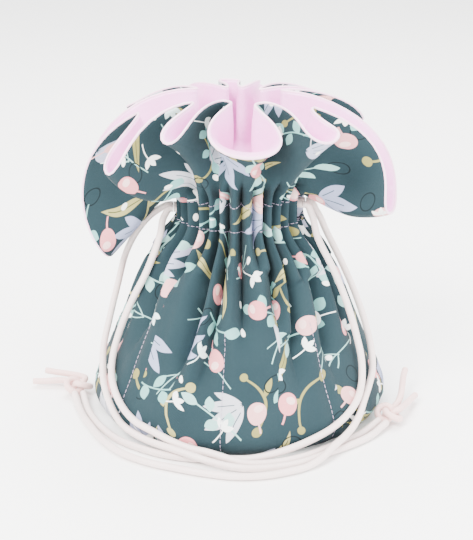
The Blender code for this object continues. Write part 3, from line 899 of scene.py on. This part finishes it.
def threaded(tree, shader, light, deep, scales, tone_share):
    """Colours the shader by a soft tone and by fine threads, and gives the threads back."""
    vector = object_place(tree)
    tone = grain(tree, vector, scales[0], 2.0)
    threads = grain(tree, vector, scales[1], 1.0)
    mixed = tone * tone_share + threads * (1 - tone_share)
    tree.links.new(blend_colours(tree, mixed, (*deep, 1), (*light, 1)), shader.inputs["Base Color"])
    return threads


def satin_material(name, light, deep, roughness, crease=0.0010):
    """Satin: a smooth pink weave with soft creases and a warm sheen."""
    material, tree, shader = new_material(name)
    threads = threaded(tree, shader, light, deep, (55.0, 2600.0), 0.8)
    link(tree, threads * 0.12 + (roughness - 0.06), shader.inputs["Roughness"])
    set_sockets(shader, {"Specular IOR Level": 0.6, "Sheen Weight": 0.12, "Sheen Roughness": 0.35,
                         "Sheen Tint": (1.0, 0.80, 0.88, 1)})
    first = bump(tree, shader, threads, 0.00004, 0.5)
    bump(tree, shader, grain(tree, object_place(tree), 150.0, 3.0, 0.6), crease, 0.6, first)
    return material


def cord_material(name, light, deep):
    """Satin cord: fine crosswise ribs carry a soft gloss."""
    material, tree, shader = new_material(name)
    threads = threaded(tree, shader, light, deep, (70.0, 2200.0), 0.7)
    set_sockets(shader, {"Roughness": 0.42, "Specular IOR Level": 0.5, "Sheen Weight": 0.2})
    bump(tree, shader, threads, 0.00006, 0.6)
    return material


def thread_material():
    material, tree, shader = new_material("lilac_thread")
    tone = grain(tree, object_place(tree), 900.0, 1.0)
    colour = blend_colours(tree, tone, (0.30, 0.24, 0.34, 1), (0.46, 0.38, 0.50, 1))
    tree.links.new(colour, shader.inputs["Base Color"])
    shader.inputs["Roughness"].default_value = 0.6
    bump(tree, shader, tone, 0.00005, 0.6)
    return material


COTTON_LOOK = print_material()
LINING_LOOK = satin_material("pink_satin_cloth", (0.99, 0.62, 0.96), (0.84, 0.26, 0.62), 0.30)
POCKET_LOOK = satin_material("pink_satin_pocket", (0.82, 0.27, 0.58), (0.66, 0.13, 0.36), 0.36)
# The rolled satin edge is paler pink than the lining as a painted highlight along the roll; the pockets'
# bound mouth uses the same colours
RIM_PAINTED_HIGHLIGHT_LOOK = satin_material("pale_satin_edge_painted_highlight", (0.90, 0.66, 0.80), (0.84, 0.46, 0.66), 0.32, 0.0005)
CORD_LOOK = cord_material("blush_satin_cord", (0.82, 0.72, 0.69), (0.70, 0.55, 0.53))
# The knot is the same cord, coloured a deeper pink as painted shade for the shaded inside of its tight
# turns
KNOT_PAINTED_SHADE_LOOK = cord_material("blush_satin_knot_painted_shade", (0.84, 0.64, 0.60), (0.74, 0.42, 0.40))
THREAD_LOOK = thread_material()


# Cloth pieces

def exit_holes():
    """Quads left out where the cords come out at the sides of the channel."""
    holes = np.zeros((len(CREST) - 1, COLUMNS), bool)
    height = CREST[:, 0, 2]
    for direction in (LEFT_EXIT, RIGHT_EXIT):
        near = np.abs(turn_between(ANGLE + 0.4, direction)) < EXIT_HALF
        for r in range(SIDE_ROWS - 1):
            if EXIT_HEIGHTS[0] < (height[r] + height[r + 1]) / 2 < EXIT_HEIGHTS[1]:
                holes[r] |= near
    return holes


shell = cloth_solid("printed_cotton_shell", SHELL, COTTON, COTTON_LOOK, exit_holes())
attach(shell, "root")
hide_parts("outer_shell")

LINING = lining_middle()
lining = cloth_solid("satin_lining_cloth", LINING, SATIN, LINING_LOOK)
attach(lining, "root")
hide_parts("satin_lining")


def make_rim():
    """The lining rolled over the raw edge of the cotton, as a soft satin edge."""
    path = (SHELL[-1] + LINING[-1]) / 2
    lift = SHELL[-1] - SHELL[-2]
    lift /= np.linalg.norm(lift, axis=1, keepdims=True)
    path = path + lift * RIM_LIFT
    column = np.arange(COLUMNS)
    uneven = 1 + 0.10 * np.sin(column * 0.19) + 0.06 * np.sin(column * 0.53 + 1)
    rim = mesh_object("satin_rim_edge", *tube(path, RIM_RADIUS * uneven, 12, closed=True), RIM_PAINTED_HIGHLIGHT_LOOK)
    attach(rim, "root")
    return rim


rim = make_rim()


def make_pockets():
    """The ring of pockets inside, with a bound mouth."""
    rows = []
    theta = 2 * math.pi * np.arange(POCKET_COLUMNS) / POCKET_COLUMNS
    wave = 0.5 * (1 - np.cos(POCKETS * (theta - math.radians(FIRST_RAY))))
    radii = np.hypot(LINING[:SIDE_ROWS, :, 0], LINING[:SIDE_ROWS, :, 1]).min(axis=1)
    heights = LINING[:SIDE_ROWS, 0, 2]
    order = np.argsort(heights, kind="stable")
    steps = [(radius, height, 0.0) for radius, height in POCKET_FLOOR]
    for share in np.linspace(0.07, 1.0, 16):
        height = POCKET_FOOT + share * (POCKET_TOP - POCKET_FOOT)
        wall = float(np.interp(height, heights[order], radii[order]))
        steps.append((wall - POCKET_NEST, height, POCKET_SLACK * min(1.0, share * 1.5)))
    for radius, height, slack in steps:
        reach = radius - slack * wave - POCKET_RIPPLE * np.sin(23 * theta) * (slack > 0)
        rows.append(round_points(reach, theta, height))
    middle = np.array(rows)
    band = cloth_solid("satin_pocket_band", middle, SATIN, POCKET_LOOK, foot=False)
    edge = mesh_object("satin_pocket_edge", *tube(middle[-1], 0.0007, 10, closed=True), RIM_PAINTED_HIGHLIGHT_LOOK)
    for piece in (band, edge):
        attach(piece, "root")
    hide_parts("inner_pockets")
    return band, edge


pockets, pocket_edge = make_pockets()


# Stitches

def stitches_along(line, closed):
    """Short threads that dip into the cloth at both ends."""
    points = np.vstack([line, line[:1]]) if closed else line
    run = run_length(points)
    made = []
    at = 0.0
    while at + STITCH < run[-1]:
        t = np.linspace(at, at + STITCH, len(STITCH_TAPER))
        path = np.stack([np.interp(t, run, points[:, i]) for i in range(3)], axis=1)
        made.append(tube(path, np.array(STITCH_TAPER) * THREAD, 6))
        at += STITCH + STITCH_GAP
    return made


def row_at(height):
    return int(np.argmin(np.abs(CREST[:SIDE_ROWS, 0, 2] - height)))


def make_stitching():
    """Two rows of stitches round the channel, and a ray of them along each pocket seam."""
    normal = normals_of(SHELL)
    channel = []
    for height in (CHANNEL_BOTTOM + 0.0012, CHANNEL_TOP - 0.0014):
        row = row_at(height)
        channel += stitches_along(SHELL[row] + normal[row] * (COTTON / 2 + CHANNEL_LIFT), True)
    seams = mesh_object("channel_stitches", *joined(channel), THREAD_LOOK)
    rays = []
    skin = SHELL + normal * (COTTON / 2 + SEAM_LIFT)
    theta = np.degrees(np.arctan2(skin[..., 1], skin[..., 0]))
    for ray in RAYS:
        points = []
        for r in range(2, row_at(POCKET_TOP)):
            gap = turn_between(theta[r], ray)
            order = np.argsort(gap)
            points.append([np.interp(0.0, gap[order], skin[r][order, i]) for i in range(3)])
        rays += stitches_along(np.array(points), False)
    lines = mesh_object("pocket_seam_stitches", *joined(rays), THREAD_LOOK)
    for piece in (seams, lines):
        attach(piece, "root")
    return seams, lines


channel_stitches, pocket_stitches = make_stitching()


# Cords

def polar(angle, radius, height):
    return (radius * math.cos(math.radians(angle)), radius * math.sin(math.radians(angle)), height)


def leaving(direction, side, height):
    """The first two points of a strand, where it leaves the channel."""
    return [polar(direction + side * EXIT_SPREAD, EXIT_RADIUS + beyond, height)
            for beyond in (CORD_GAP, CORD_LEAD + CORD_GAP)]


LEFT_HEIGHT = CHANNEL_MIDDLE - CORD_RISE
RIGHT_HEIGHT = CHANNEL_MIDDLE + CORD_RISE

# The strands' routes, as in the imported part
LEFT_FRONT = (
    *leaving(LEFT_EXIT, 1, LEFT_HEIGHT),
    (-0.0318, -0.0056, 0.0858), (-0.0336, -0.0116, 0.0790), (-0.0389, -0.0182, 0.0654),
    (-0.0461, -0.0182, 0.0509), (-0.0515, -0.0187, 0.0374), (-0.0540, -0.0228, 0.0291),
    (-0.0543, -0.0295, 0.0221), (-0.0511, -0.0387, 0.0155), (-0.0442, -0.0487, 0.0107),
    (-0.0348, -0.0566, 0.0087), (-0.0268, -0.0612, 0.0066), (-0.0200, -0.0644, 0.0054),
    (-0.0130, -0.0672, OVER), (-0.0050, -0.0695, 0.0036), (0.0020, -0.0703, 0.0019),
    (0.0120, -0.0698, FLOOR), (0.0245, -0.0652, FLOOR), (0.0365, -0.0564, FLOOR),
    (0.0455, -0.0492, FLOOR), (0.0522, -0.0425, FLOOR), (0.0596, -0.0339, 0.0030),
)
LEFT_BACK = (
    *leaving(LEFT_EXIT, -1, LEFT_HEIGHT),
    (-0.0362, 0.0038, 0.0848), (-0.0440, 0.0058, 0.0762), (-0.0495, 0.0066, 0.0660),
    (-0.0537, 0.0025, 0.0512), (-0.0572, -0.0040, 0.0374), (-0.0592, -0.0115, 0.0285),
    (-0.0591, -0.0190, 0.0240), (-0.0584, -0.0246, 0.0175), (-0.0549, -0.0347, 0.0113),
    (-0.0492, -0.0455, 0.0070), (-0.0424, -0.0530, 0.0056), (-0.0350, -0.0590, OVER),
    (-0.0260, -0.0650, OVER), (-0.0150, -0.0712, 0.0042), (-0.0060, -0.0734, 0.0025),
    (0.0020, -0.0742, FLOOR), (0.0125, -0.0735, FLOOR), (0.0244, -0.0696, FLOOR),
    (0.0305, -0.0656, FLOOR), (0.0366, -0.0610, FLOOR), (0.0456, -0.0545, FLOOR),
    (0.0545, -0.0465, FLOOR), (0.0626, -0.0362, 0.0030),
)
RIGHT_INNER = (
    *leaving(RIGHT_EXIT, -1, RIGHT_HEIGHT),
    (0.0304, -0.0108, 0.0880), (0.0330, -0.0130, 0.0787), (0.0394, -0.0164, 0.0661),
    (0.0455, -0.0188, 0.0517), (0.0499, -0.0234, 0.0378), (0.0519, -0.0288, 0.0283),
    (0.0515, -0.0351, 0.0204), (0.0496, -0.0402, 0.0161), (0.0451, -0.0468, 0.0123),
    (0.0382, -0.0540, 0.0094), (0.0285, -0.0607, 0.0070), (0.0200, -0.0642, 0.0050),
    (0.0120, -0.0658, 0.0031), (0.0040, -0.0664, 0.0018), (-0.0050, -0.0664, FLOOR),
    (-0.0120, -0.0664, FLOOR), (-0.0200, -0.0658, FLOOR), (-0.0300, -0.0630, FLOOR),
    (-0.0400, -0.0575, FLOOR), (-0.0500, -0.0498, FLOOR), (-0.0585, -0.0380, FLOOR),
    (-0.0650, -0.0240, 0.0018), (-0.0698, -0.0067, 0.0030),
)
RIGHT_OUTER = (
    *leaving(RIGHT_EXIT, 1, RIGHT_HEIGHT),
    (0.0332, -0.0030, 0.0868), (0.0379, 0.0002, 0.0765), (0.0451, -0.0004, 0.0620),
    (0.0505, -0.0040, 0.0502), (0.0551, -0.0100, 0.0375), (0.0570, -0.0158, 0.0300),
    (0.0574, -0.0225, 0.0220), (0.0551, -0.0308, 0.0178), (0.0524, -0.0382, 0.0140),
    (0.0505, -0.0431, 0.0107), (0.0474, -0.0487, 0.0076), (0.0432, -0.0548, 0.0058),
    (0.0384, -0.0616, OVER), (0.0333, -0.0678, 0.0031), (0.0275, -0.0724, FLOOR),
    (0.0200, -0.0766, FLOOR), (0.0100, -0.0801, FLOOR), (0.0000, -0.0810, FLOOR),
    (-0.0150, -0.0778, FLOOR), (-0.0260, -0.0738, FLOOR), (-0.0360, -0.0695, FLOOR),
    (-0.0465, -0.0625, FLOOR), (-0.0555, -0.0520, FLOOR), (-0.0625, -0.0385, FLOOR),
    (-0.0688, -0.0235, 0.0018), (-0.07355, -0.0072, 0.0030),
)
# Each knot: its middle, its heading, and where its two tails end
RIGHT_KNOT = ((0.0648, -0.0303, 0.0046), 52.0, ((0.0755, 0.0050, 0.0092), (0.0785, -0.0090, 0.0030)))
LEFT_KNOT = ((-0.0725, -0.0010, 0.0046), 98.0, ((-0.0940, 0.0065, 0.0028), (-0.0890, 0.0135, 0.0050)))
KNOT_MOUTH, KNOT_RING, KNOT_RISE, KNOT_TIGHT = 0.34, 0.0036, 0.0019, 0.97
# How a cord turns into the channel: degrees from the exit, and share of the way out
NECK_TURN = (
    (EXIT_SPREAD, 1.0), (EXIT_SPREAD, 0.68), (7.4, 0.36), (9.6, 0.12), (13.5, 0.0), (20.0, 0.0),
)

RIB_PITCH = 0.00095
RIB_DEPTH = 0.055
RIB_POINTS = 4
CORD_SIDES = 12


def cord_piece(name, node, path, radius, look):
    """A cord's tube with fine ribs across it, in place of a node, and its middle line."""
    fine = resampled(path, RIB_PITCH / RIB_POINTS)
    run = run_length(fine)
    rib = 1 - RIB_DEPTH * (0.5 - 0.5 * np.cos(2 * math.pi * run / RIB_PITCH)) ** 2
    piece = mesh_object(name, *tube(fine, radius * rib, CORD_SIDES), look)
    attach(piece, "root")
    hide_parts(node)
    return piece, fine


def make_knot(name, node, spec):
    """An overhand knot: one tight three-lobed loop that ends in the two tails."""
    centre, heading, tails = spec
    turn = Matrix.Rotation(math.radians(heading), 4, "Z")
    loop = []
    for t in np.linspace(KNOT_MOUTH, 2 * math.pi - KNOT_MOUTH, 61):
        reach = KNOT_RING + KNOT_RISE * math.cos(3 * t)
        spot = Vector((reach * math.cos(2 * t), reach * math.sin(2 * t), -KNOT_RISE * math.sin(3 * t)))
        loop.append(tuple(turn @ spot + Vector(centre)))
    route = [tails[0], *loop, tails[1]]
    piece, _ = cord_piece(name, node, hermite(route, 8), CORD / 2 * KNOT_TIGHT, KNOT_PAINTED_SHADE_LOOK)
    return piece


def make_neck_cord(name, node, middle, height):
    """A cord's ring in the channel, with both ends turned out at its exit."""
    out = EXIT_RADIUS - CORD_RING
    points = [polar(middle + away, CORD_RING + out * share, height) for away, share in NECK_TURN]
    points += [polar(middle + away, CORD_RING, height) for away in range(32, 330, 15)]
    points += [polar(middle - away, CORD_RING + out * share, height) for away, share in NECK_TURN[::-1]]
    cord_piece(name, node, hermite(points), CORD / 2, CORD_LOOK)


make_neck_cord("channel_cord_left", "neck_cord_left", LEFT_EXIT, LEFT_HEIGHT)
make_neck_cord("channel_cord_right", "neck_cord_right", RIGHT_EXIT, RIGHT_HEIGHT)
knot_right = make_knot("cord_knot_right", "knot_right", RIGHT_KNOT)
knot_left = make_knot("cord_knot_left", "knot_left", LEFT_KNOT)
STRANDS = (
    ("drawcord_left_front", "strand_left_front", LEFT_FRONT, 0.230, [knot_right]),
    ("drawcord_left_back", "strand_left_back", LEFT_BACK, 0.254, []),
    ("drawcord_right_inner", "strand_right_inner", RIGHT_INNER, 0.253, [knot_left]),
    ("drawcord_right_outer", "strand_right_outer", RIGHT_OUTER, 0.290, []),
)
for name, node, route, length, on_it in STRANDS:
    strand, path = cord_piece(name, node, hermite(route), CORD / 2, CORD_LOOK)


# Floor, light and camera

FLOOR_HALF = 6.0
# Each light: name, place, size, power and colour
LIGHTS = (
    ("key", (-0.5, -0.7, 0.9), 0.6, 42.0, (1.0, 0.98, 0.95)),
    ("fill", (0.8, -0.5, 0.5), 0.8, 14.0, (0.96, 0.98, 1.0)),
    ("top", (0.1, 0.3, 1.1), 0.9, 30.0, (1.0, 1.0, 1.0)),
)
LIGHT_AIM = (0, 0, 0.06)
WORLD_STRENGTH = 3.2
LENS = 83.73
CAMERA_PLACE, CAMERA_AIM = (-0.0012, -0.5184, 0.2426), (-0.0012, 0.0, 0.059)


def make_stage():
    mesh = bpy.data.meshes.new("floor")
    corners = [(-1, -1), (1, -1), (1, 1), (-1, 1)]
    mesh.from_pydata([(x * FLOOR_HALF, y * FLOOR_HALF, 0) for x, y in corners], [], [(0, 1, 2, 3)])
    floor = bpy.data.objects.new("floor", mesh)
    bpy.context.scene.collection.objects.link(floor)
    material, _, shader = new_material("pale_floor")
    set_sockets(shader, {"Base Color": (0.94, 0.94, 0.93, 1), "Roughness": 0.9,
                         "Specular IOR Level": 0.1})
    mesh.materials.append(material)
    floor.location.z = -0.0002


def placed(name, data, place, aim):
    """An object for a light or a camera, turned to look at a point."""
    obj = bpy.data.objects.new(name, data)
    obj.location = place
    obj.rotation_euler = (Vector(aim) - Vector(place)).to_track_quat("-Z", "Y").to_euler()
    bpy.context.scene.collection.objects.link(obj)
    return obj


def make_lights():
    for name, place, size, power, colour in LIGHTS:
        light = bpy.data.lights.new(name, "AREA")
        light.shape = "DISK"
        light.size = size
        light.energy = power
        light.color = colour
        placed(name, light, place, LIGHT_AIM)
    world = bpy.data.worlds.new("studio")
    bpy.context.scene.world = world
    world.use_nodes = True
    set_sockets(world.node_tree.nodes["Background"],
                {"Color": (1.0, 1.0, 1.0, 1), "Strength": WORLD_STRENGTH})


def make_camera():
    camera = bpy.data.cameras.new("camera")
    camera.sensor_width = 36.0
    camera.lens = LENS
    camera.clip_start, camera.clip_end = 0.01, 50
    bpy.context.scene.camera = placed("camera", camera, CAMERA_PLACE, CAMERA_AIM)


make_stage()
make_lights()
make_camera()
